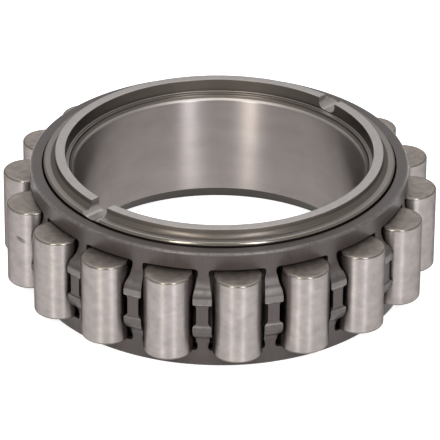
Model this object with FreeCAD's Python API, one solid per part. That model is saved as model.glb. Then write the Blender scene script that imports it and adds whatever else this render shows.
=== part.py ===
import FreeCAD
import Part

import math
import os

# A cylindrical roller bearing for a gearbox shaft, without an outer ring: its rollers run
# straight in the bore of a gear or a housing. The inner ring carries a rib at each end of its
# raceway and, above the upper rib, a lip with two rounded slots for a locating pin. Inside
# the lip a counterbore steps down to the ground bore. A one-piece window cage of pressed steel
# surrounds the ribs. Its bars start inside the pitch circle and bow outwards past it, where
# their wings guide the rollers.
#
# The bearing lies flat. Z is its axis, z = 0 its lower end face, and the slots lie on X.
# All sizes are in millimetres, and all angles in degrees.

# Inner ring, radially from the bore outwards
BORE_DIA = 90.0
COUNTERBORE_STEP = 2.6
LIP_WALL = 3.15
SHOULDER_WIDTH = 3.65
RIB_HEIGHT = 2.1

# Inner ring, along the axis
LOWER_RIB = 6.2
UPPER_RIB = 7.4
LIP_HEIGHT = 2.7
COUNTERBORE_DEPTH = 4.2

# Inner ring, the step between the counterbore and the bore, and the lead-in at the lower end
STEP_DEPTH = 0.8
STEP_CONE_RADIAL = 1.4
STEP_CONE_AXIAL = 1.3
LEAD_IN_RADIAL = 3.8
LEAD_IN_AXIAL = 5.0

# Inner ring, the ribs' edges and the pin slots
RIB_EDGE = 0.8
PIN_SLOT_WIDTH = 6.8
PIN_SLOT_DEPTH = 4.4
PIN_SLOT_CORNER = 2.2

# Rollers
ROLLER_COUNT = 18
ROLLER_DIA = 15.0
ROLLER_LENGTH = 26.5
RACE_GAP = 0.05
RIB_GAP = 0.05
FIRST_ROLLER_ANGLE = 11.0

# Cage, the pressed sheet
SHEET = 1.8
CAGE_GUIDE_GAP = 0.65
CAGE_SETBACK = 0.1
CAGE_EDGE = 1.2
WALL_INSET = 1.3
BAR_REACH = 2.5
BAR_LAND_HALF = 6.4
BAR_SLOPE_LENGTH = 3.2
RECESS_HALF = 3.8
RECESS_DEPTH = 0.5

# Cage, the punched windows
WINDOW_END_GAP = 0.7
WINDOW_SIDE_GAP = 0.95
WINDOW_RECESS_GAP = 1.5
WING_GAP = 0.4
WING_LENGTH = 3.0
WING_TAPER = 3.2

# Radii that follow
bore_r = BORE_DIA / 2
counterbore_r = bore_r + COUNTERBORE_STEP
lip_r = counterbore_r + LIP_WALL
rib_r = lip_r + SHOULDER_WIDTH
raceway_r = rib_r - RIB_HEIGHT
roller_r = ROLLER_DIA / 2
pitch_r = raceway_r + RACE_GAP + roller_r
flange_r = rib_r + CAGE_GUIDE_GAP
wall_r = pitch_r - WALL_INSET
bar_r = pitch_r + BAR_REACH

# Heights that follow
roller_z = LOWER_RIB + RIB_GAP
raceway_top_z = roller_z + ROLLER_LENGTH + RIB_GAP
shoulder_z = raceway_top_z + UPPER_RIB
lip_top_z = shoulder_z + LIP_HEIGHT
middle_z = roller_z + ROLLER_LENGTH / 2
cage_half = middle_z - CAGE_SETBACK
window_half = ROLLER_LENGTH / 2 + WINDOW_END_GAP

ORIGIN = FreeCAD.Vector(0, 0, 0)
X_AXIS = FreeCAD.Vector(1, 0, 0)
Z_AXIS = FreeCAD.Vector(0, 0, 1)
FULL_TURN = 360.0
MATCH = 0.001


def face_of(corners):
    """The flat face inside a closed outline of straight lines."""
    return Part.Face(Part.makePolygon(corners + corners[:1]))


def turned(section):
    """The solid that a lathe makes from a half section given as (radius, height)."""
    corners = [FreeCAD.Vector(r, 0, z) for r, z in section]
    return face_of(corners).revolve(ORIGIN, Z_AXIS, FULL_TURN)


def roller_angles():
    return [FIRST_ROLLER_ANGLE + i * FULL_TURN / ROLLER_COUNT for i in range(ROLLER_COUNT)]


def ring_section():
    """Half section of the inner ring: up its inner side, then down its outer side."""
    floor_z = lip_top_z - COUNTERBORE_DEPTH
    step_z = floor_z - STEP_DEPTH
    step_r = bore_r + STEP_CONE_RADIAL
    inner_side = [
        (bore_r + LEAD_IN_RADIAL, 0),
        (bore_r, LEAD_IN_AXIAL),
        (bore_r, step_z - STEP_CONE_AXIAL),
        (step_r, step_z),
        (step_r, floor_z),
        (counterbore_r, floor_z),
        (counterbore_r, lip_top_z),
    ]
    outer_side = [
        (lip_r, lip_top_z),
        (lip_r, shoulder_z),
        (rib_r - RIB_EDGE, shoulder_z),
        (rib_r, shoulder_z - RIB_EDGE),
        (rib_r, raceway_top_z),
        (raceway_r, raceway_top_z),
        (raceway_r, LOWER_RIB),
        (rib_r, LOWER_RIB),
        (rib_r, RIB_EDGE),
        (rib_r - RIB_EDGE, 0),
    ]
    return inner_side + outer_side


def is_along_x_at(edge, height):
    """Whether a straight edge runs along X at a height."""
    start, end = (vertex.Point for vertex in edge.Vertexes)
    return start.y == end.y and abs(start.z - height) + abs(end.z - height) < MATCH


def slot_cutter():
    """A bar along X with two rounded lower edges, through both sides of the lip at once."""
    height = PIN_SLOT_DEPTH + PIN_SLOT_WIDTH
    corner = FreeCAD.Vector(-rib_r, -PIN_SLOT_WIDTH / 2, lip_top_z - PIN_SLOT_DEPTH)
    bar = Part.makeBox(2 * rib_r, PIN_SLOT_WIDTH, height, corner)
    lower_edges = [e for e in bar.Edges if is_along_x_at(e, corner.z)]
    return bar.makeFillet(PIN_SLOT_CORNER, lower_edges)


def inner_ring():
    return turned(ring_section()).cut(slot_cutter())


def roller():
    """One roller, standing in its place on the X axis."""
    return Part.makeCylinder(roller_r, ROLLER_LENGTH, FreeCAD.Vector(pitch_r, 0, roller_z))


def cage_section():
    """Half section of the sheet: flange, wall, slope and bar, mirrored about its middle."""
    slope_top = BAR_LAND_HALF + BAR_SLOPE_LENGTH
    slope_angle = math.atan2(bar_r - wall_r, BAR_SLOPE_LENGTH)
    bend_shift = SHEET * math.tan(slope_angle / 2)
    outside = [
        (flange_r, cage_half),
        (wall_r - CAGE_EDGE, cage_half),
        (wall_r, cage_half - CAGE_EDGE),
        (wall_r, slope_top),
        (bar_r, BAR_LAND_HALF),
        (bar_r, RECESS_HALF),
        (bar_r - RECESS_DEPTH, RECESS_HALF - RECESS_DEPTH),
    ]
    inside = [
        (flange_r, cage_half - SHEET),
        (wall_r - SHEET, cage_half - SHEET),
        (wall_r - SHEET, slope_top - bend_shift),
        (bar_r - SHEET, BAR_LAND_HALF - bend_shift),
    ]
    lower_outside = [(r, -z) for r, z in outside[::-1]]
    lower_inside = [(r, -z) for r, z in inside]
    corners = outside + lower_outside + lower_inside + inside[::-1]
    return [(r, middle_z + z) for r, z in corners]


def window_cutter():
    """The punch for the window on the X axis: narrow at the wings, wider at ends and recess."""
    end_half = roller_r + WINDOW_SIDE_GAP
    wing_half = roller_r + WING_GAP
    recess_half = roller_r + WINDOW_RECESS_GAP
    wing_z = RECESS_HALF + WING_LENGTH
    quarter = [
        (end_half, window_half),
        (end_half, wing_z + WING_TAPER),
        (wing_half, wing_z),
        (wing_half, RECESS_HALF),
        (recess_half, RECESS_HALF),
    ]
    right = quarter + [(y, -z) for y, z in quarter[::-1]]
    outline = right + [(-y, z) for y, z in right[::-1]]
    start_r = wall_r - 2 * SHEET
    corners = [FreeCAD.Vector(start_r, y, middle_z + z) for y, z in outline]
    return face_of(corners).extrude(X_AXIS * (bar_r + SHEET - start_r))


def cage():
    window = window_cutter()
    windows = [window.rotated(ORIGIN, Z_AXIS, angle) for angle in roller_angles()]
    return turned(cage_section()).cut(windows)


def export(name, shape):
    shape.exportStep(f"parts/{name}.step")
    print(f"{name}: {shape.Volume:.1f} mm3, {len(shape.Solids)} solid, valid {shape.isValid()}")


def main():
    os.makedirs("parts", exist_ok=True)
    export("inner_ring", inner_ring())
    export("cage", cage())
    for number, angle in enumerate(roller_angles(), 1):
        export(f"roller_{number:02d}", roller().rotated(ORIGIN, Z_AXIS, angle))


main()
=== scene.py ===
"""A gearbox roller bearing without an outer ring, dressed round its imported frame.

The inner ring, the pressed cage and each roller are remodelled here with their rounded edges,
at the sizes of the frame. All lengths are in metres, in the frame's own axes.
"""

import math

import bmesh
import bpy
from bpy.props import FloatProperty, FloatVectorProperty, IntProperty, PointerProperty
from mathutils import Matrix, Vector


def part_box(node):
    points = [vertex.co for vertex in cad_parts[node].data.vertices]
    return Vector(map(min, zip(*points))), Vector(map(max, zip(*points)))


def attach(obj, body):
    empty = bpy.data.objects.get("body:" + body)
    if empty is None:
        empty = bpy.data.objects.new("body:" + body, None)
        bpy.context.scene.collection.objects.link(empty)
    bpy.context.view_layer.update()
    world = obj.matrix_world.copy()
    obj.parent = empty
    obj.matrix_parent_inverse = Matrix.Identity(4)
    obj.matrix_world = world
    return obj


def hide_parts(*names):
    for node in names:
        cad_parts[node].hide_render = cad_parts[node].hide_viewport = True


bl_info = {
    "name": "Gearbox roller bearing",
    "version": (1, 0, 0),
    "blender": (4, 5, 0),
    "location": "View3D > Sidebar > Bearing",
    "description": "Builds an inner ring, a pressed window cage and its rollers",
    "category": "Object",
}

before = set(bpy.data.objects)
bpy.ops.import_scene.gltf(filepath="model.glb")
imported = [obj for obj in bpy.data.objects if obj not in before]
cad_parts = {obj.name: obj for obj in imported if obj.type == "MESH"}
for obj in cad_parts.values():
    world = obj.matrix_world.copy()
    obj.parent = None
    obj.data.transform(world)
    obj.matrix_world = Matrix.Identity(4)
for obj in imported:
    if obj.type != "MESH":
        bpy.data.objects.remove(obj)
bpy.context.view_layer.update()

MM = 0.001
FULL_TURN = 2 * math.pi

# Edges sharper than this stay sharp, on ring and cage and on the rollers
SHARP_ANGLE = math.radians(32)
ROLLER_SHARP_ANGLE = math.radians(40)

# A rounding up to the small one takes few segments, and a larger one more
SMALL_ROUNDING = 0.5 * MM
SMALL_SEGMENTS = 3
SEGMENTS = 8
MERGE_DISTANCE = 0.0001 * MM

# How far flat faces decide the shading beside them, out of 100
FACE_WEIGHT = 80

_, ring_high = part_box("inner_ring")
cage_low, cage_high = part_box("cage")
cage_middle = (cage_low.z + cage_high.z) / 2
cage_half = (cage_high.z - cage_low.z) / 2
ROLLERS = sorted(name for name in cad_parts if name.startswith("roller_"))


def roller_place(name):
    """The middle of a roller's box."""
    low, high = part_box(name)
    return (low + high) / 2


first_roller = roller_place(ROLLERS[0])
first_low, first_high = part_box(ROLLERS[0])
FIRST_ANGLE = math.atan2(first_roller.y, first_roller.x)


def length(name, default, description):
    """A length that a user may change, in metres."""
    return FloatProperty(name=name, description=description, default=default, min=0.0,
                         subtype="DISTANCE", unit="LENGTH", precision=5)


def colour(name, default, description):
    """A base colour that a user may change."""
    return FloatVectorProperty(name=name, description=description, default=default,
                               subtype="COLOR", size=3, min=0.0, max=1.0)


class RingSizes(bpy.types.PropertyGroup):
    """The inner ring's half section, the edges and the slots"""

    bore_radius: length("Bore radius", 45.0 * MM, "Radius of the ground bore")
    lead_in: length("Lead-in", 3.8 * MM, "How far the lower lead-in opens the bore")
    lead_in_height: length("Lead-in height", 5.0 * MM, "Height of the lower lead-in")
    step_radius: length("Step radius", 46.4 * MM, "Radius of the step under the counterbore")
    step_depth: length("Step depth", 5.0 * MM, "Depth of the step's lower edge under the lip")
    edge_radius: length("Bore edge radius", 45.5 * MM, "Radius where the step's cone ends")
    edge_depth: length("Bore edge depth", 5.6 * MM, "Depth where the step's cone ends")
    bore_depth: length("Bore depth", 6.3 * MM, "Depth of the bore's upper end under the lip")
    counterbore_radius: length("Counterbore radius", 47.6 * MM, "Inner radius of the lip")
    counterbore_depth: length("Counterbore depth", 4.2 * MM, "Depth of the counterbore")
    lip_radius: length("Lip radius", 50.75 * MM, "Outer radius of the lip")
    lip_height: length("Lip height", 2.7 * MM, "Height of the lip over the rib's face")
    raceway_radius: length("Raceway radius", 52.3 * MM, "Radius of the track of the rollers")
    upper_rib: length("Upper rib", 7.4 * MM, "Thickness of the upper rib along the axis")
    lower_rib: length("Lower rib", 6.2 * MM, "Thickness of the lower rib along the axis")
    rib_edge: length("Rib edge", 0.85 * MM, "Rounding of the ribs' outer edges")
    root_fillet: length("Root fillet", 1.4 * MM, "Fillet at the foot of the lip")
    edge_break: length("Edge break", 0.25 * MM, "Rounding of the small edges")
    relief_width: length("Relief width", 1.1 * MM, "Width of the grinding relief")
    relief_depth: length("Relief depth", 0.3 * MM, "Depth of the grinding relief")
    slot_width: length("Slot width", 6.8 * MM, "Width of the slots in the lip")
    slot_depth: length("Slot depth", 3.7 * MM, "Depth of the slots in the lip")
    slot_corner: length("Slot corner", 2.4 * MM, "Rounding of the slots' lower edges")
    steps: IntProperty(name="Steps", description="Faces around the ring", default=288, min=24)


class RollerSizes(bpy.types.PropertyGroup):
    """The rollers' edges and ends"""

    radius: length("Radius", 7.498 * MM, "Radius of a roller")
    edge: length("Edge", 0.6 * MM, "Rounding of each roller's ends")
    end_dish: length("End dish", 0.12 * MM, "Depth of the dish ground into each end")
    steps: IntProperty(name="Steps", description="Faces around a roller", default=96, min=12)


class CageSizes(bpy.types.PropertyGroup):
    """The pressed sheet and its windows"""

    sheet: length("Sheet", 1.8 * MM, "Thickness of the sheet")
    flange_radius: length("Flange radius", 54.8 * MM, "Inner radius of both flanges")
    wall_radius: length("Wall radius", 58.55 * MM, "Outer radius of the walls")
    corner: length("Corner", 0.8 * MM, "Outer rounding between flange and wall")
    land: length("Land", 7.0 * MM, "Half length of the bar's bowed land")
    slope: length("Slope", 2.6 * MM, "Length along the axis of the bar's slope")
    bend: length("Bend", 2.1 * MM, "Rounding length of the bar's bends")
    recess: length("Recess", 3.8 * MM, "Half length of the recess in the bar")
    recess_depth: length("Recess depth", 0.45 * MM, "Depth of the recess in the bar")
    window_half: length("Window half", 13.95 * MM, "Half length of a window")
    window_corner: length("Window corner", 1.0 * MM, "Rounding of a window's corners")
    end_half: length("End half", 8.25 * MM, "Half width of a window at its ends")
    ear: length("Ear", 0.35 * MM, "How far the window's corners open out")
    ear_length: length("Ear length", 1.9 * MM, "Length of the opened corners")
    ear_slope: length("Ear slope", 1.2 * MM, "Length over which the corners open out")
    wing_half: length("Wing half", 8.0 * MM, "Half width of a window at the wings")
    recess_half: length("Recess half", 9.0 * MM, "Half width of a window at the recess")
    wing: length("Wing", 3.3 * MM, "Length of a wing")
    taper: length("Taper", 2.4 * MM, "Length over which the bar widens to its wing")
    neck_rounding: length("Neck rounding", 1.0 * MM, "Rounding between neck and wing")
    wing_rounding: length("Wing rounding", 0.3 * MM, "Rounding of a wing's inner corner")
    recess_rounding: length("Recess rounding", 0.6 * MM, "Rounding of the recess's corners")
    recess_lean: length("Recess lean", 0.8 * MM, "Slant of a wing's inner edge")
    inner_corner: length("Inner corner", 0.3 * MM, "Inner rounding between flange and wall")
    punched_edge: length("Punched edge", 0.15 * MM, "Rounding of the punched edges")
    steps: IntProperty(name="Steps", description="Faces around the cage", default=216, min=24)


class FinishColours(bpy.types.PropertyGroup):
    """Base colours of the steels"""

    ground: colour("Ground", (0.264, 0.238, 0.228), "The ground bore")
    # Painted shade: a dark colour for the raceway, the ribs' sides and the lead-in, which lie in
    # shade
    painted_shade: colour("Painted shade", (0.055, 0.048, 0.043), "The dark raceway, ribs and lead-in")
    # Painted dark reflection: the polished and rim colours are darker than such steel, so that
    # they reflect their surroundings dark
    polished: colour("Polished", (0.13, 0.117, 0.1), "The rounded edges of the ribs")
    rim: colour("Rim", (0.15, 0.136, 0.12), "The rounded edges of the rollers")
    shoulder: colour("Shoulder", (0.19, 0.172, 0.16), "The shoulder at the foot of the lip")
    # Milled slots, and a painted highlight on the step's narrow upward faces
    milled_and_highlight: colour("Milled and highlight", (0.24, 0.22, 0.208), "The slots and the step's narrow faces")
    turned: colour("Turned", (0.098, 0.085, 0.074), "The lip's sides and counterbore")
    face: colour("Face", (0.305, 0.285, 0.275), "The lip's top face")
    roller: colour("Roller", (0.262, 0.238, 0.229), "The rollers")
    roller_end: colour("Roller end", (0.215, 0.188, 0.17), "The rollers' ends")
    smudge: colour("Smudge", (0.06, 0.056, 0.056), "The dark smear on one roller")
    cage: colour("Cage", (0.044, 0.0345, 0.032), "The phosphated sheet")
    # Painted glint on the burr beside the bars' recess
    burr_glint: colour("Burr glint", (0.19, 0.178, 0.172), "The bright edge that the press left on the bars")
    # Rubbed wings, and painted highlight on the upper slopes and the flanges' corners
    worn_and_lit: colour("Worn and lit", (0.102, 0.092, 0.088), "The sheet where the rollers and the bore rub it")


class StageSettings(bpy.types.PropertyGroup):
    """The camera's place and the lamps"""

    azimuth: FloatProperty(name="Azimuth", default=-44.6,
                           description="Camera's direction in degrees from the front")
    elevation: FloatProperty(name="Elevation", default=28.06,
                             description="Camera's height in degrees over the floor")
    distance: length("Distance", 1.221, "Distance of the camera from the lip's centre")
    focal_px: FloatProperty(name="Focal length", description="In pixels of the photograph",
                            default=3953.0)
    lamp_turn: FloatProperty(name="Lamp turn", default=25.0,
                             description="Degrees between the camera and each tall lamp")
    lamp_power: FloatProperty(name="Lamp power", description="Watts of each tall lamp",
                              default=5.6, min=0.0)
    overhead_power: FloatProperty(name="Overhead power", default=4.6, min=0.0,
                                  description="Watts of the overhead lamp")


GROUPS = {
    "bearing_ring": RingSizes,
    "bearing_rollers": RollerSizes,
    "bearing_cage": CageSizes,
    "bearing_finish": FinishColours,
    "bearing_stage": StageSettings,
}


def settings(name):
    """The scene's values of one property group."""
    return getattr(bpy.context.scene, name)


def add_object(name, data):
    """A new object in the scene."""
    thing = bpy.data.objects.new(name, data)
    bpy.context.scene.collection.objects.link(thing)
    return thing


def new_piece(name, mesh, body, nodes, materials):
    """Adds an object at the origin that rides on a body and stands for CAD nodes."""
    piece = add_object(name, mesh)
    for material in materials:
        mesh.materials.append(material)
    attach(piece, body)
    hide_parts(*nodes)
    weigh_normals(piece)


def weigh_normals(piece):
    """Lets flat faces keep flat shading beside their rounded edges."""
    modifier = piece.modifiers.new("face_weights", "WEIGHTED_NORMAL")
    modifier.keep_sharp = True
    modifier.weight = FACE_WEIGHT


def in_order(finishes):
    """The materials of a piece, in the order of the numbers that its faces hold."""
    return [finishes[number] for number in sorted(finishes)]


def mesh_from(bm, name):
    """A mesh from a bmesh, which is used up."""
    mesh = bpy.data.meshes.new(name)
    bm.to_mesh(mesh)
    bm.free()
    return mesh


def shade_smooth(mesh, sharp_angle):
    """Shades all faces smooth, but keeps the edges over an angle sharp."""
    for face in mesh.polygons:
        face.use_smooth = True
    mesh.set_sharp_from_angle(angle=sharp_angle)


def verts_in(geometry):
    """The vertices among what an operator made."""
    return [item for item in geometry if isinstance(item, bmesh.types.BMVert)]


def round_corners(bm, verts, roundings):
    """Rounds the corners of a flat face, each with its own rounding."""
    for size in sorted({rounding for rounding in roundings if rounding}, reverse=True):
        group = [v for v, rounding in zip(verts, roundings) if rounding == size]
        segments = SEGMENTS if size > SMALL_ROUNDING else SMALL_SEGMENTS
        bmesh.ops.bevel(bm, geom=group, offset=size, offset_type="OFFSET", segments=segments,
                        profile=0.5, affect="VERTICES", clamp_overlap=True, material=-1)


def outline(bm, corners):
    """A flat face in the XZ plane from corners (r, z, rounding), with its corners rounded."""
    verts = [bm.verts.new((r, 0, z)) for r, z, _ in corners]
    bm.faces.new(verts)
    round_corners(bm, verts, [rounding for _, _, rounding in corners])


def lathe(bm, steps):
    """Turns the flat outline in the XZ plane round the Z axis."""
    bmesh.ops.delete(bm, geom=bm.faces[:], context="FACES_ONLY")
    bmesh.ops.spin(bm, geom=bm.verts[:] + bm.edges[:], cent=(0, 0, 0), axis=(0, 0, 1),
                   angle=FULL_TURN, steps=steps, use_merge=True)
    bmesh.ops.remove_doubles(bm, verts=bm.verts, dist=MERGE_DISTANCE)
    bmesh.ops.recalc_face_normals(bm, faces=bm.faces)


def bar_along_x(bm, corners, start, end):
    """A solid bar between two places on X, from corners (y, z, rounding)."""
    verts = [bm.verts.new((start, y, z)) for y, z, _ in corners]
    bm.faces.new(verts)
    round_corners(bm, verts, [rounding for _, _, rounding in corners])
    made = bmesh.ops.extrude_face_region(bm, geom=bm.faces[:])
    bmesh.ops.translate(bm, verts=verts_in(made["geom"]), vec=(end - start, 0, 0))
    bmesh.ops.recalc_face_normals(bm, faces=bm.faces)


def cut_away(mesh, cutter_mesh, name):
    """The mesh without what the cutter holds. Both are used up."""
    cutter = add_object("cutter", cutter_mesh)
    blank = add_object("blank", mesh)
    modifier = blank.modifiers.new("cut", "BOOLEAN")
    modifier.operation = "DIFFERENCE"
    modifier.solver = "EXACT"
    modifier.object = cutter
    depsgraph = bpy.context.evaluated_depsgraph_get()
    result = bpy.data.meshes.new_from_object(blank.evaluated_get(depsgraph))
    for used in (blank, cutter):
        bpy.data.objects.remove(used)
    result.name = name
    result.set_sharp_from_angle(angle=SHARP_ANGLE)
    return result


# The inner ring
GROUND, TURNED, FACED, SHOULDER, POLISHED, PAINTED_SHADE, MILLED_AND_HIGHLIGHT = range(7)

# How far the slot cutter reaches from the axis, as a share of the ring's radius
CUTTER_REACH = 1.1

# A face counts as being at a place when it is off by less than this
NEARLY = 0.05 * MM

# How far the normal of a level face points up at least, and that of a sloping one
LEVEL = 0.7
SLOPING = 0.4


def ring_corners(s):
    """Half section of the ring: up its inner side, then down its outer side."""
    top = ring_high.z
    rib = ring_high.x
    floor = top - s.counterbore_depth
    shoulder = top - s.lip_height
    upper = shoulder - s.upper_rib
    lower = s.lower_rib
    relief = s.raceway_radius - s.relief_depth
    small = s.edge_break
    return [
        (s.bore_radius + s.lead_in, 0, small),
        (s.bore_radius, s.lead_in_height, small),
        (s.bore_radius, top - s.bore_depth, small),
        (s.edge_radius, top - s.edge_depth, small),
        (s.step_radius, top - s.step_depth, small),
        (s.step_radius, floor, small),
        (s.counterbore_radius, floor, small),
        (s.counterbore_radius, top, small),
        (s.lip_radius, top, small),
        (s.lip_radius, shoulder, s.root_fillet),
        (rib, shoulder, s.rib_edge),
        (rib, upper, small),
        (relief, upper, 0),
        (relief, upper - s.relief_width + s.relief_depth, 0),
        (s.raceway_radius, upper - s.relief_width, 0),
        (s.raceway_radius, lower + s.relief_width, 0),
        (relief, lower + s.relief_width - s.relief_depth, 0),
        (relief, lower, 0),
        (rib, lower, small),
        (rib, 0, s.rib_edge),
    ]


def slot_cutter(s):
    """A bar along X with two rounded lower edges, through both sides of the lip."""
    half = s.slot_width / 2
    bottom = ring_high.z - s.slot_depth
    top = ring_high.z + s.slot_depth
    reach = CUTTER_REACH * ring_high.x
    bm = bmesh.new()
    bar_along_x(bm, [(-half, bottom, s.slot_corner), (half, bottom, s.slot_corner),
                     (half, top, 0), (-half, top, 0)], -reach, reach)
    return mesh_from(bm, "slot_cutter")


def ring_finish(face, s):
    """The number of a ring face's finish, by the face's place."""
    top = ring_high.z
    shoulder = top - s.lip_height
    radius = Vector(face.center).xy.length
    height = face.center.z
    depth = top - height
    level = face.normal.z > LEVEL
    outside = radius > s.lip_radius + s.root_fillet
    on_lip = radius > s.lip_radius - NEARLY
    in_slot = abs(face.center.y) < s.slot_width / 2 + NEARLY and radius > s.counterbore_radius
    if level and depth < NEARLY:
        return FACED
    if in_slot and depth < s.slot_depth + NEARLY:
        return MILLED_AND_HIGHLIGHT
    if outside and level and height > shoulder - NEARLY:
        return SHOULDER
    # The rib's rounded edge and side, whose polished colour is darkened as a painted dark
    # reflection
    if outside and shoulder - 2 * s.rib_edge < height < shoulder:
        return POLISHED
    if on_lip and shoulder - NEARLY < height < shoulder + s.root_fillet:
        return TURNED
    # Painted shade on the raceway and the ribs' sides, between the ring and the cage
    if outside and height < shoulder:
        return PAINTED_SHADE
    if depth < s.bore_depth - NEARLY:
        on_step = depth < s.counterbore_depth + NEARLY or depth > s.edge_depth - NEARLY
        facing_up = face.normal.z > SLOPING and radius < s.counterbore_radius
        # The step's narrow upward faces get the lighter milled colour as a painted highlight
        return MILLED_AND_HIGHLIGHT if on_step and facing_up else TURNED
    # Painted shade on the lower lead-in, which faces the shaded floor under the ring
    return PAINTED_SHADE if height < s.lead_in_height - s.edge_break else GROUND


class BEARING_OT_inner_ring(bpy.types.Operator):
    """Turns the inner ring and mills the two slots through its lip"""

    bl_idname = "bearing.inner_ring"
    bl_label = "Inner ring"

    def execute(self, context):
        s = settings("bearing_ring")
        bm = bmesh.new()
        outline(bm, ring_corners(s))
        lathe(bm, s.steps)
        blank = mesh_from(bm, "turned_ring")
        shade_smooth(blank, SHARP_ANGLE)
        mesh = cut_away(blank, slot_cutter(s), "ring_with_lip")
        finishes = {GROUND: ground_steel(), TURNED: turned_steel(), FACED: faced_steel(),
                    SHOULDER: shoulder_steel(), POLISHED: polished_steel(),
                    PAINTED_SHADE: painted_shade_steel(), MILLED_AND_HIGHLIGHT: milled_and_highlight_steel()}
        new_piece("ring_with_lip", mesh, "inner_ring", ["inner_ring"],
                  in_order(finishes))
        for face in mesh.polygons:
            face.material_index = ring_finish(face, s)
        return {"FINISHED"}


# The rollers
SIDE, END, RIM = range(3)

# The dish's radius as a share of the roller's, and its floor's as a share of the dish's
DISH_SHARE = 0.78
DISH_FLOOR_SHARE = 0.7

# How far the normals of the rim's faces point along the axis
RIM_FROM = 0.05
RIM_TO = 0.98


def roller_mesh(s):
    """One roller about the Z axis, with its middle at the origin."""
    half = (first_high.z - first_low.z) / 2
    floor = half - s.end_dish
    dish = DISH_SHARE * s.radius
    bm = bmesh.new()
    outline(bm, [
        (0, -floor, 0),
        (DISH_FLOOR_SHARE * dish, -floor, 0),
        (dish, -half, 0),
        (s.radius, -half, s.edge),
        (s.radius, half, s.edge),
        (dish, half, 0),
        (DISH_FLOOR_SHARE * dish, floor, 0),
        (0, floor, 0),
    ])
    lathe(bm, s.steps)
    for face in bm.faces:
        along = abs(face.normal.z)
        face.material_index = SIDE if along < RIM_FROM else RIM if along < RIM_TO else END
    layer = bm.verts.layers.float_vector.new("lathe")
    for vert in bm.verts:
        vert[layer] = (vert.co.xy.length, vert.co.z, 0)
    mesh = mesh_from(bm, "roller")
    shade_smooth(mesh, ROLLER_SHARP_ANGLE)
    return mesh


class BEARING_OT_rollers(bpy.types.Operator):
    """Turns one roller and stands a copy in each place round the pitch circle"""

    bl_idname = "bearing.rollers"
    bl_label = "Rollers"

    def execute(self, context):
        pattern = roller_mesh(settings("bearing_rollers"))
        finishes = {SIDE: roller_steel(), END: roller_end_steel(), RIM: rim_steel()}
        for name in ROLLERS:
            mesh = pattern.copy()
            mesh.name = f"{name}_ground"
            mesh.transform(Matrix.Translation(roller_place(name)))
            new_piece(f"{name}_ground", mesh, name, [name],
                      in_order(finishes))
        bpy.data.meshes.remove(pattern)
        return {"FINISHED"}


# The cage
def sheet_corners(s):
    """Half section of the sheet, about the cage's middle, as (r, z, rounding)."""
    land_radius = cage_high.x
    slope_top = s.land + s.slope
    slope_angle = math.atan2(land_radius - s.wall_radius, s.slope)
    shift = s.sheet * math.tan(slope_angle / 2)
    recess_radius = land_radius - s.recess_depth
    outside = [
        (s.flange_radius, cage_half, s.punched_edge),
        (s.wall_radius, cage_half, s.corner),
        (s.wall_radius, slope_top, s.bend),
        (land_radius, s.land, s.bend),
        (land_radius, s.recess, s.punched_edge),
        (recess_radius, s.recess - s.recess_depth, s.punched_edge),
    ]
    inside = [
        (s.flange_radius, cage_half - s.sheet, s.punched_edge),
        (s.wall_radius - s.sheet, cage_half - s.sheet, s.inner_corner),
        (s.wall_radius - s.sheet, slope_top - shift, s.bend),
        (land_radius - s.sheet, s.land - shift, s.bend),
    ]
    lower_outside = [(r, -z, rounding) for r, z, rounding in outside[::-1]]
    lower_inside = [(r, -z, rounding) for r, z, rounding in inside]
    return outside + lower_outside + lower_inside + inside[::-1]


def window_corners(s):
    """The punched window's outline about its middle, as (half width, height, rounding)."""
    wing_end = s.recess + s.wing
    ear_end = s.window_half - s.ear_length
    ear_rounding = s.ear_slope / 3
    quarter = [
        (s.end_half + s.ear, s.window_half, s.window_corner),
        (s.end_half + s.ear, ear_end, ear_rounding),
        (s.end_half, ear_end - s.ear_slope, ear_rounding),
        (s.end_half, wing_end + s.taper, s.neck_rounding),
        (s.wing_half, wing_end, s.neck_rounding),
        (s.wing_half, s.recess, s.wing_rounding),
        (s.recess_half, s.recess - s.recess_lean, s.recess_rounding),
    ]
    right = quarter + [(y, -z, rounding) for y, z, rounding in quarter[::-1]]
    return right + [(-y, z, rounding) for y, z, rounding in right[::-1]]


def punches(s, count):
    """One rounded bar through each window, pointing outwards."""
    bm = bmesh.new()
    bar_along_x(bm, window_corners(s), s.flange_radius - s.sheet, cage_high.x + s.sheet)
    bmesh.ops.translate(bm, verts=bm.verts, vec=(0, 0, cage_middle))
    pattern = bm.verts[:] + bm.edges[:] + bm.faces[:]
    for k in range(count):
        turn = Matrix.Rotation(FIRST_ANGLE + k * FULL_TURN / count, 3, "Z")
        copy = bmesh.ops.duplicate(bm, geom=pattern)["geom"]
        bmesh.ops.rotate(bm, verts=verts_in(copy), cent=(0, 0, 0), matrix=turn)
    bmesh.ops.delete(bm, geom=verts_in(pattern), context="VERTS")
    return mesh_from(bm, "window_punches")


class BEARING_OT_cage(bpy.types.Operator):
    """Turns the sheet's section and punches a window for each roller"""

    bl_idname = "bearing.cage"
    bl_label = "Cage"

    def execute(self, context):
        s = settings("bearing_cage")
        bm = bmesh.new()
        outline(bm, sheet_corners(s))
        lathe(bm, s.steps)
        bmesh.ops.translate(bm, verts=bm.verts, vec=(0, 0, cage_middle))
        sheet = mesh_from(bm, "pressed_sheet")
        shade_smooth(sheet, SHARP_ANGLE)
        mesh = cut_away(sheet, punches(s, len(ROLLERS)), "pressed_cage")
        new_piece("pressed_cage", mesh, "cage", ["cage"],
                  [phosphated_steel()])
        return {"FINISHED"}


# Shader nodes
def add_node(tree, kind, **values):
    """A node with its attributes set; keys that name an input set that input."""
    node = tree.nodes.new(kind)
    for key, value in values.items():
        if key in node.inputs:
            node.inputs[key].default_value = value
        else:
            setattr(node, key, value)
    return node


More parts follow.
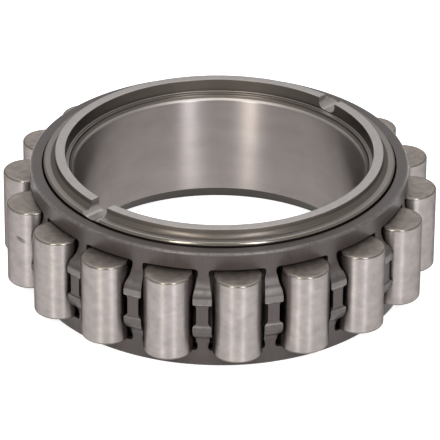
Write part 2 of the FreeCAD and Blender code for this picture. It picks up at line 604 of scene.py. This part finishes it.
def feed(tree, socket, given):
    """Links a socket into another one, or gives it a plain value."""
    if isinstance(given, bpy.types.NodeSocket):
        tree.links.new(given, socket)
    else:
        socket.default_value = given


def compute(tree, operation, *terms, **values):
    """The result of a Math node; each term is a socket or a number."""
    node = add_node(tree, "ShaderNodeMath", operation=operation, **values)
    for socket, term in zip(node.inputs, terms):
        feed(tree, socket, term)
    return node.outputs[0]


def compute_vector(tree, operation, *terms):
    """A Vector Math node; each term is a socket or a vector."""
    node = add_node(tree, "ShaderNodeVectorMath", operation=operation)
    for socket, term in zip(node.inputs, terms):
        feed(tree, socket, term)
    return node


def noise(tree, place, scale, **values):
    """A noise from 0 to 1, whose mean is near NOISE_MEAN."""
    node = add_node(tree, "ShaderNodeTexNoise", noise_dimensions="3D", **values)
    feed(tree, node.inputs["Vector"], place)
    feed(tree, node.inputs["Scale"], scale)
    return node.outputs["Fac"]


def ramp(tree, value, low, high):
    """0 where a value is under low, 1 where it is over high; the other way round if high < low."""
    node = add_node(tree, "ShaderNodeMapRange", clamp=True)
    for label, given in (("Value", value), ("From Min", low), ("From Max", high)):
        feed(tree, node.inputs[label], given)
    return node.outputs["Result"]


def live(sockets, name):
    """The socket of a name that the node's mode puts to use."""
    return next(socket for socket in sockets if socket.enabled and socket.name == name)


def blend(tree, factor, under, over):
    """A colour blended into another; each is a socket or a plain colour."""
    node = add_node(tree, "ShaderNodeMix", data_type="RGBA")
    feed(tree, live(node.inputs, "Factor"), factor)
    for label, given in (("A", under), ("B", over)):
        is_socket = isinstance(given, bpy.types.NodeSocket)
        feed(tree, live(node.inputs, label), given if is_socket else (*given, 1))
    return live(node.outputs, "Result")


def overlap(tree, *masks):
    """The product of masks, which is 1 where all of them are 1."""
    product = masks[0]
    for mask in masks[1:]:
        product = compute(tree, "MULTIPLY", product, mask)
    return product


def new_group(name, inputs, outputs):
    """A shader node group with its input and output nodes."""
    group = bpy.data.node_groups.new(name, "ShaderNodeTree")
    for label, kind, default in inputs:
        socket = group.interface.new_socket(name=label, in_out="INPUT", socket_type=kind)
        if default is not None:
            socket.default_value = default
    for label, kind in outputs:
        group.interface.new_socket(name=label, in_out="OUTPUT", socket_type=kind)
    return group, group.nodes.new("NodeGroupInput"), group.nodes.new("NodeGroupOutput")


# The finishes
NOISE_MEAN = 0.5
LINE_CONTRAST = 0.12


def machined_finish():
    """The group of fine tool lines, cloudy patches and streaks that every steel here shares.

    Lathe holds a point's distance from the piece's axis and its place along the axis, and Place
    holds the point itself. Shade multiplies a colour, and Height is in metres.
    """
    name = "machined_finish"
    if name in bpy.data.node_groups:
        return bpy.data.node_groups[name]
    group, given, made = new_group(
        name,
        [("Lathe", "NodeSocketVector", None), ("Place", "NodeSocketVector", None),
         ("Line Scale", "NodeSocketFloat", 9000.0), ("Line Depth", "NodeSocketFloat", 0.000002),
         ("Cloud Scale", "NodeSocketFloat", 90.0), ("Cloud Amount", "NodeSocketFloat", 0.12),
         ("Streak Amount", "NodeSocketFloat", 0.1),
         ("Streak Scale", "NodeSocketVector", (120.0, 120.0, 380.0)),
         ("Roughness", "NodeSocketFloat", 0.3), ("Roughness Spread", "NodeSocketFloat", 0.08)],
        [("Shade", "NodeSocketFloat"), ("Roughness", "NodeSocketFloat"),
         ("Height", "NodeSocketFloat")])
    asked = given.outputs
    lines = noise(group, asked["Lathe"], asked["Line Scale"], Detail=3.0, Roughness=0.6)
    clouds = noise(group, asked["Place"], asked["Cloud Scale"], Detail=4.0, Roughness=0.55)
    stretched = compute_vector(group, "MULTIPLY", asked["Place"], asked["Streak Scale"])
    streaks = noise(group, stretched.outputs[0], 1.0, Detail=3.0)
    line = compute(group, "SUBTRACT", lines, NOISE_MEAN)
    cloud = compute(group, "SUBTRACT", clouds, NOISE_MEAN)
    offset = compute(group, "MULTIPLY_ADD", asked["Streak Amount"], -NOISE_MEAN, 1.0)
    streaked = compute(group, "MULTIPLY_ADD", streaks, asked["Streak Amount"], offset)
    clouded = compute(group, "MULTIPLY_ADD", cloud, asked["Cloud Amount"], streaked)
    results = {
        "Shade": compute(group, "MULTIPLY_ADD", line, LINE_CONTRAST, clouded),
        "Roughness": compute(group, "MULTIPLY_ADD", cloud, asked["Roughness Spread"],
                             asked["Roughness"]),
        "Height": compute(group, "MULTIPLY", lines, asked["Line Depth"]),
    }
    for label, result in results.items():
        feed(group, made.inputs[label], result)
    return group


def lathe_from_place(tree, place):
    """Distance from the bearing's own axis and height, for the ring and the cage."""
    split = add_node(tree, "ShaderNodeSeparateXYZ")
    feed(tree, split.inputs[0], place)
    across = compute_vector(tree, "MULTIPLY", place, (1, 1, 0)).outputs[0]
    joined = add_node(tree, "ShaderNodeCombineXYZ")
    feed(tree, joined.inputs["X"], compute_vector(tree, "LENGTH", across).outputs["Value"])
    feed(tree, joined.inputs["Y"], split.outputs["Z"])
    return joined.outputs[0]


# Turns the stretch of the reflections from round the axis to along it, in full turns
QUARTER_TURN = 0.25


def steel(name, base, bump, own_axis=False, anisotropy=0.0, metallic=1.0, edge_tint=0.6,
          **finish):
    """A steel with the shared finish; finish holds values of the group's inputs.

    Its nodes place and base_colour are named, for the steels that add to them.
    """
    material = bpy.data.materials.new(name)
    material.use_nodes = True
    tree = material.node_tree
    shader = tree.nodes["Principled BSDF"]
    shader.inputs["Metallic"].default_value = metallic
    shader.inputs["Anisotropic"].default_value = anisotropy
    shader.inputs["Anisotropic Rotation"].default_value = QUARTER_TURN
    # An edge tint under 1 darkens the grazing reflections as painted shade, most on the rollers'
    # flanks
    shader.inputs["Specular Tint"].default_value = (edge_tint, edge_tint, edge_tint, 1)
    place = add_node(tree, "ShaderNodeTexCoord", name="place").outputs["Object"]
    if own_axis:
        attribute = add_node(tree, "ShaderNodeAttribute", attribute_name="lathe")
        lathe_place = attribute.outputs["Vector"]
    else:
        lathe_place = lathe_from_place(tree, place)
    group = add_node(tree, "ShaderNodeGroup", node_tree=machined_finish())
    for label, value in finish.items():
        group.inputs[label.replace("_", " ").title()].default_value = value
    feed(tree, group.inputs["Place"], place)
    feed(tree, group.inputs["Lathe"], lathe_place)
    tint = compute_vector(tree, "SCALE", base)
    tint.name = "base_colour"
    feed(tree, tint.inputs["Scale"], group.outputs["Shade"])
    feed(tree, shader.inputs["Base Color"], tint.outputs[0])
    feed(tree, shader.inputs["Roughness"], group.outputs["Roughness"])
    relief = add_node(tree, "ShaderNodeBump", Strength=bump, Distance=1.0)
    feed(tree, relief.inputs["Height"], group.outputs["Height"])
    feed(tree, shader.inputs["Normal"], relief.outputs["Normal"])
    return material


def ground_steel():
    return steel("ground_steel", settings("bearing_finish").ground, anisotropy=1.0,
                 roughness=0.36, roughness_spread=0.05, line_scale=7000.0, cloud_amount=0.4,
                 streak_amount=0.25, streak_scale=(60.0, 60.0, 260.0), bump=0.15)


def turned_steel():
    return steel("turned_steel", settings("bearing_finish").turned, anisotropy=0.6,
                 roughness=0.38, roughness_spread=0.1, line_scale=3500.0, cloud_amount=0.3,
                 bump=0.3)


def faced_steel():
    return steel("faced_steel", settings("bearing_finish").face, roughness=0.46,
                 roughness_spread=0.15, line_scale=5000.0, cloud_scale=700.0, cloud_amount=0.35,
                 bump=0.3)


# Milled slots, and a painted highlight on the step's narrow upward faces
def milled_and_highlight_steel():
    return steel("milled_and_highlight_steel", settings("bearing_finish").milled_and_highlight, roughness=0.42,
                 roughness_spread=0.1, line_scale=3000.0, cloud_amount=0.25, bump=0.3)


def shoulder_steel():
    return steel("shoulder_steel", settings("bearing_finish").shoulder, roughness=0.45,
                 roughness_spread=0.1, line_scale=4000.0, cloud_amount=0.25, bump=0.3)


# Painted dark reflection: darker than polished steel, so that the rib's edge reflects its
# surroundings dark
def polished_steel():
    return steel("polished_steel", settings("bearing_finish").polished, roughness=0.16,
                 roughness_spread=0.1, cloud_amount=0.2, bump=0.1)


# Painted dark reflection: darker than polished steel, so that the rollers' rims reflect their
# surroundings dark
def rim_steel():
    return steel("rim_steel", settings("bearing_finish").rim, own_axis=True, roughness=0.24,
                 roughness_spread=0.1, cloud_amount=0.4, cloud_scale=500.0, bump=0.1)


# Painted shade: a dark steel for the faces that lie in shade
def painted_shade_steel():
    return steel("painted_shade_steel", settings("bearing_finish").painted_shade, roughness=0.35,
                 roughness_spread=0.1, cloud_amount=0.3, bump=0.1)


def roller_end_steel():
    return steel("roller_end_steel", settings("bearing_finish").roller_end, own_axis=True,
                 roughness=0.45, roughness_spread=0.08, line_scale=6000.0, cloud_amount=1.0,
                 cloud_scale=500.0, bump=0.1)


# The smear's place on its roller, and how far it reaches inwards, along and across
SMUDGED_ROLLER = "roller_08"
SMUDGE_DIRECTION = math.radians(201.5)
SMUDGE_HEIGHT = 23.4 * MM
SMUDGE_SLANT = math.radians(-26)
SMUDGE_REACH = Vector((2.0, 2.4, 1.0)) * MM

# The share of its reach that is fully dark, and the scale and range of the noise in it
SMUDGE_CORE = 0.2
SMUDGE_GRAIN = 1400.0
SMUDGE_GRAIN_RANGE = (0.2, 0.55)


def roller_steel():
    """The rollers' ground steel, with a dark smear on the side of one roller."""
    finish = settings("bearing_finish")
    # The low edge tint is painted shade on the rollers' flanks
    material = steel("roller_steel", finish.roller, own_axis=True, anisotropy=0.9,
                     roughness=0.37, roughness_spread=0.06, line_scale=6000.0, cloud_amount=0.5,
                     cloud_scale=260.0, streak_amount=0.45, streak_scale=(320.0, 320.0, 480.0),
                     edge_tint=0.3, bump=0.1)
    tree = material.node_tree
    place = tree.nodes["place"].outputs["Object"]
    axis = roller_place(SMUDGED_ROLLER)
    radius = settings("bearing_rollers").radius
    local = add_node(
        tree, "ShaderNodeMapping", vector_type="TEXTURE",
        Location=(axis.x + radius * math.cos(SMUDGE_DIRECTION),
                  axis.y + radius * math.sin(SMUDGE_DIRECTION), SMUDGE_HEIGHT),
        Rotation=(SMUDGE_SLANT, 0, SMUDGE_DIRECTION), Scale=SMUDGE_REACH)
    feed(tree, local.inputs["Vector"], place)
    distance = compute_vector(tree, "LENGTH", local.outputs[0]).outputs["Value"]
    grain = ramp(tree, noise(tree, place, SMUDGE_GRAIN), *SMUDGE_GRAIN_RANGE)
    mark = overlap(tree, ramp(tree, distance, 1.0, SMUDGE_CORE), grain)
    feed(tree, tree.nodes["base_colour"].inputs[0],
         blend(tree, mark, finish.roller, finish.smudge))
    return material


# The painted glint on the burr beside the recess: how far it reaches, fades and wavers
BURR_GLINT_REACH = 1.05 * MM
BURR_GLINT_FADE = 0.2 * MM
BURR_GLINT_WAVE = 1.6 * MM

# The painted highlight at the corner between flange and wall, measured from the flange's face and
# the wall
CORNER_REACH = 0.9 * MM
CORNER_TOP = 0.3 * MM
CORNER_SIDE = 0.5 * MM

# The painted highlight on the upper slope: how it fades at the bend, and between two heights over
# the wall
BEND_FADE = 0.6 * MM
SLOPE_FOOT = 0.4 * MM
SLOPE_HEIGHT = 2.2 * MM

# The lower half's share of the wings' lighter colour and of the burr's glint: painted light from
# above, which falls more on the upper half
LOWER_LIT_SHARE = 0.3

# The scale and range of the noise that breaks up slopes and corner, and wavers the burr's painted
# glint
SPECK_GRAIN = 700.0
SPECK_RANGE = (0.15, 0.75)


def phosphated_steel():
    """The cage's dark sheet, rubbed lighter on the wings, with painted highlight on the upper
    slopes, the flanges' corners and the burr beside the recess.

    The upper wings and burrs are painted lighter than the lower ones, as painted light from above.
    """
    finish = settings("bearing_finish")
    s = settings("bearing_cage")
    material = steel("phosphated_steel", finish.cage, metallic=0.35, bump=0.3, edge_tint=1.0,
                     roughness=0.36, roughness_spread=0.2, line_scale=1500.0, cloud_amount=0.45,
                     cloud_scale=260.0, streak_amount=0.4, streak_scale=(1500.0, 1500.0, 150.0))
    tree = material.node_tree
    place = tree.nodes["place"].outputs["Object"]
    split = add_node(tree, "ShaderNodeSeparateXYZ")
    feed(tree, split.inputs[0], lathe_from_place(tree, place))
    radius, height = split.outputs["X"], split.outputs["Y"]
    from_middle = compute(tree, "ABSOLUTE", compute(tree, "SUBTRACT", height, cage_middle))
    grain = noise(tree, place, SPECK_GRAIN, Detail=2.0)
    specks = ramp(tree, grain, *SPECK_RANGE)
    above = ramp(tree, height, cage_middle - s.recess, cage_middle + s.recess)
    lit_share = compute(tree, "MULTIPLY_ADD", above, 1.0 - LOWER_LIT_SHARE, LOWER_LIT_SHARE)

    half_step = s.recess_depth / 2
    on_wing = ramp(tree, radius, cage_high.x - half_step, cage_high.x - half_step / 2)
    wavering = compute(tree, "MULTIPLY_ADD", grain, BURR_GLINT_WAVE, from_middle)
    burr_glint_end = s.recess + BURR_GLINT_REACH
    by_recess = ramp(tree, wavering, burr_glint_end, burr_glint_end - BURR_GLINT_FADE)
    past_bend = ramp(tree, from_middle, s.land - BEND_FADE, s.land + BEND_FADE)
    raised = ramp(tree, radius, s.wall_radius + SLOPE_FOOT, s.wall_radius + SLOPE_HEIGHT)
    near_top = ramp(tree, from_middle, cage_half - CORNER_REACH, cage_half - CORNER_TOP)
    near_side = ramp(tree, radius, s.wall_radius - CORNER_REACH, s.wall_radius - CORNER_SIDE)

    sheet = finish.cage
    # Rubbed wings with painted light from above, then painted highlight on the upper slopes and on
    # the corners between flange and wall
    for masks in ((on_wing, lit_share), (past_bend, raised, above, specks),
                  (near_top, near_side, specks)):
        sheet = blend(tree, overlap(tree, *masks), sheet, finish.worn_and_lit)
    # Painted glint on the burr beside the recess, dimmer on the lower half
    burr_glinted = blend(tree, overlap(tree, on_wing, by_recess, lit_share), sheet, finish.burr_glint)
    feed(tree, tree.nodes["base_colour"].inputs[0], burr_glinted)
    return material


# The stage
def seen_rays(tree):
    """1 for camera, glossy and transmission rays, and 0 for all others."""
    path = add_node(tree, "ShaderNodeLightPath")
    total = path.outputs["Is Camera Ray"]
    for label in ("Is Glossy Ray", "Is Transmission Ray"):
        total = compute(tree, "ADD", total, path.outputs[label], use_clamp=True)
    return total


FLOOR_SIZE = 4.0
FLOOR_DROP = 0.05 * MM
FLOOR_GREY = 0.85
FLOOR_ROUGHNESS = 0.9

# The floor's own light where it is seen
FLOOR_LIFT = 0.7


def pale_floor():
    """A pale floor that is lifted to white where it is seen, and keeps its shadow."""
    material = bpy.data.materials.new("pale_floor")
    material.use_nodes = True
    tree = material.node_tree
    shader = tree.nodes["Principled BSDF"]
    shader.inputs["Base Color"].default_value = (FLOOR_GREY, FLOOR_GREY, FLOOR_GREY, 1)
    shader.inputs["Roughness"].default_value = FLOOR_ROUGHNESS
    shader.inputs["Specular IOR Level"].default_value = 0.0
    shader.inputs["Emission Color"].default_value = (1, 1, 1, 1)
    feed(tree, shader.inputs["Emission Strength"],
         compute(tree, "MULTIPLY", seen_rays(tree), FLOOR_LIFT))
    return material


def add_floor():
    """The plane that the bearing lies on, a hair under it."""
    bm = bmesh.new()
    bmesh.ops.create_grid(bm, x_segments=1, y_segments=1, size=FLOOR_SIZE)
    mesh = mesh_from(bm, "floor")
    mesh.materials.append(pale_floor())
    floor = add_object("floor", mesh)
    floor.location.z = -FLOOR_DROP


def around(azimuth, elevation, distance, centre):
    """A point at an azimuth and elevation in degrees from a centre."""
    a = math.radians(azimuth)
    e = math.radians(elevation)
    back = Vector((math.sin(a) * math.cos(e), -math.cos(a) * math.cos(e), math.sin(e)))
    return centre + distance * back


# Distances and sizes in metres, elevations in degrees
LAMP_DISTANCE = 0.9
LAMP_ELEVATION = 35
LAMP_SIZE = (0.14, 0.9)
OVERHEAD_DISTANCE = 1.1
OVERHEAD_ELEVATION = 70
OVERHEAD_SIZE = (0.9, 0.9)
WARM = (1.0, 0.96, 0.90)
COOL = (0.95, 0.96, 1.0)
WHITE = (1.0, 1.0, 1.0)


def add_lamp(name, place, centre, size, power, tint):
    """A flat lamp that faces a centre."""
    data = bpy.data.lights.new(name, "AREA")
    data.shape = "RECTANGLE"
    data.size, data.size_y = size
    data.energy = power
    data.color = tint
    lamp = add_object(name, data)
    lamp.location = place
    lamp.rotation_mode = "QUATERNION"
    lamp.rotation_quaternion = (centre - place).to_track_quat("-Z", "Y")


def add_lamps(s):
    """Two tall lamps beside the camera, and one overhead behind the bearing."""
    centre = Vector((0, 0, ring_high.z / 2))
    for name, turn, tint in (("warm_lamp", -s.lamp_turn, WARM), ("cool_lamp", s.lamp_turn, COOL)):
        place = around(s.azimuth + turn, LAMP_ELEVATION, LAMP_DISTANCE, centre)
        add_lamp(name, place, centre, LAMP_SIZE, s.lamp_power, tint)
    place = around(s.azimuth + 180, OVERHEAD_ELEVATION, OVERHEAD_DISTANCE, centre)
    add_lamp("overhead_lamp", place, centre, OVERHEAD_SIZE, s.overhead_power, WHITE)


# The world's light on the bearing. Where the world is seen, it is 1
WORLD_LIGHT = 0.5


def add_world():
    """An even grey light, which is white where it is seen."""
    world = bpy.data.worlds.new("studio")
    world.use_nodes = True
    tree = world.node_tree
    background = tree.nodes["Background"]
    background.inputs["Color"].default_value = (1, 1, 1, 1)
    feed(tree, background.inputs["Strength"],
         compute(tree, "MULTIPLY_ADD", seen_rays(tree), 1 - WORLD_LIGHT, WORLD_LIGHT))
    bpy.context.scene.world = world


# In pixels of the photograph: its width, where the camera's axis meets it, from its upper left,
# and how far that place lies under the lip's centre
PHOTO_WIDTH = 440
CENTRE_PX = (218.8, 219.5)
AIM_DROP_PX = 70.0

ROLL = math.radians(0.44)
SENSOR_WIDTH = 36.0
CLIP = (0.05, 30.0)


def add_camera(s):
    """The camera at the photograph's angle, aimed a little under the lip's centre."""
    centre = Vector((0, 0, ring_high.z))
    data = bpy.data.cameras.new("camera")
    data.sensor_width = SENSOR_WIDTH
    data.lens = s.focal_px * SENSOR_WIDTH / PHOTO_WIDTH
    data.shift_x = (PHOTO_WIDTH / 2 - CENTRE_PX[0]) / PHOTO_WIDTH
    data.shift_y = (CENTRE_PX[1] - PHOTO_WIDTH / 2) / PHOTO_WIDTH
    data.clip_start, data.clip_end = CLIP
    camera = add_object("camera", data)
    camera.location = around(s.azimuth, s.elevation, s.distance, centre)
    drop = math.atan2(AIM_DROP_PX, s.focal_px)
    aim = (centre - camera.location).to_track_quat("-Z", "Y")
    tilt = Matrix.Rotation(-drop, 3, "X").to_quaternion()
    roll = Matrix.Rotation(ROLL, 3, "Z").to_quaternion()
    camera.rotation_mode = "QUATERNION"
    camera.rotation_quaternion = aim @ tilt @ roll
    bpy.context.scene.camera = camera


class BEARING_OT_stage(bpy.types.Operator):
    """Lays the pale floor, and sets the camera, the lamps and the world"""

    bl_idname = "bearing.stage"
    bl_label = "Stage"

    def execute(self, context):
        s = settings("bearing_stage")
        add_floor()
        add_lamps(s)
        add_world()
        add_camera(s)
        context.scene.view_settings.view_transform = "Standard"
        return {"FINISHED"}


class BEARING_PT_parts(bpy.types.Panel):
    """Buttons for the bearing's pieces and its stage"""

    bl_idname = "BEARING_PT_parts"
    bl_label = "Roller bearing"
    bl_space_type = "VIEW_3D"
    bl_region_type = "UI"
    bl_category = "Bearing"

    def draw(self, context):
        for operator in OPERATORS:
            self.layout.operator(operator.bl_idname)


OPERATORS = (BEARING_OT_inner_ring, BEARING_OT_cage, BEARING_OT_rollers, BEARING_OT_stage)


def register():
    for cls in (*GROUPS.values(), *OPERATORS, BEARING_PT_parts):
        bpy.utils.register_class(cls)
    for name, group in GROUPS.items():
        setattr(bpy.types.Scene, name, PointerProperty(type=group))


def unregister():
    for name in GROUPS:
        delattr(bpy.types.Scene, name)
    for cls in reversed((*GROUPS.values(), *OPERATORS, BEARING_PT_parts)):
        bpy.utils.unregister_class(cls)


def main():
    register()
    bpy.ops.bearing.inner_ring()
    bpy.ops.bearing.cage()
    bpy.ops.bearing.rollers()
    bpy.ops.bearing.stage()


if __name__ == "__main__":
    main()
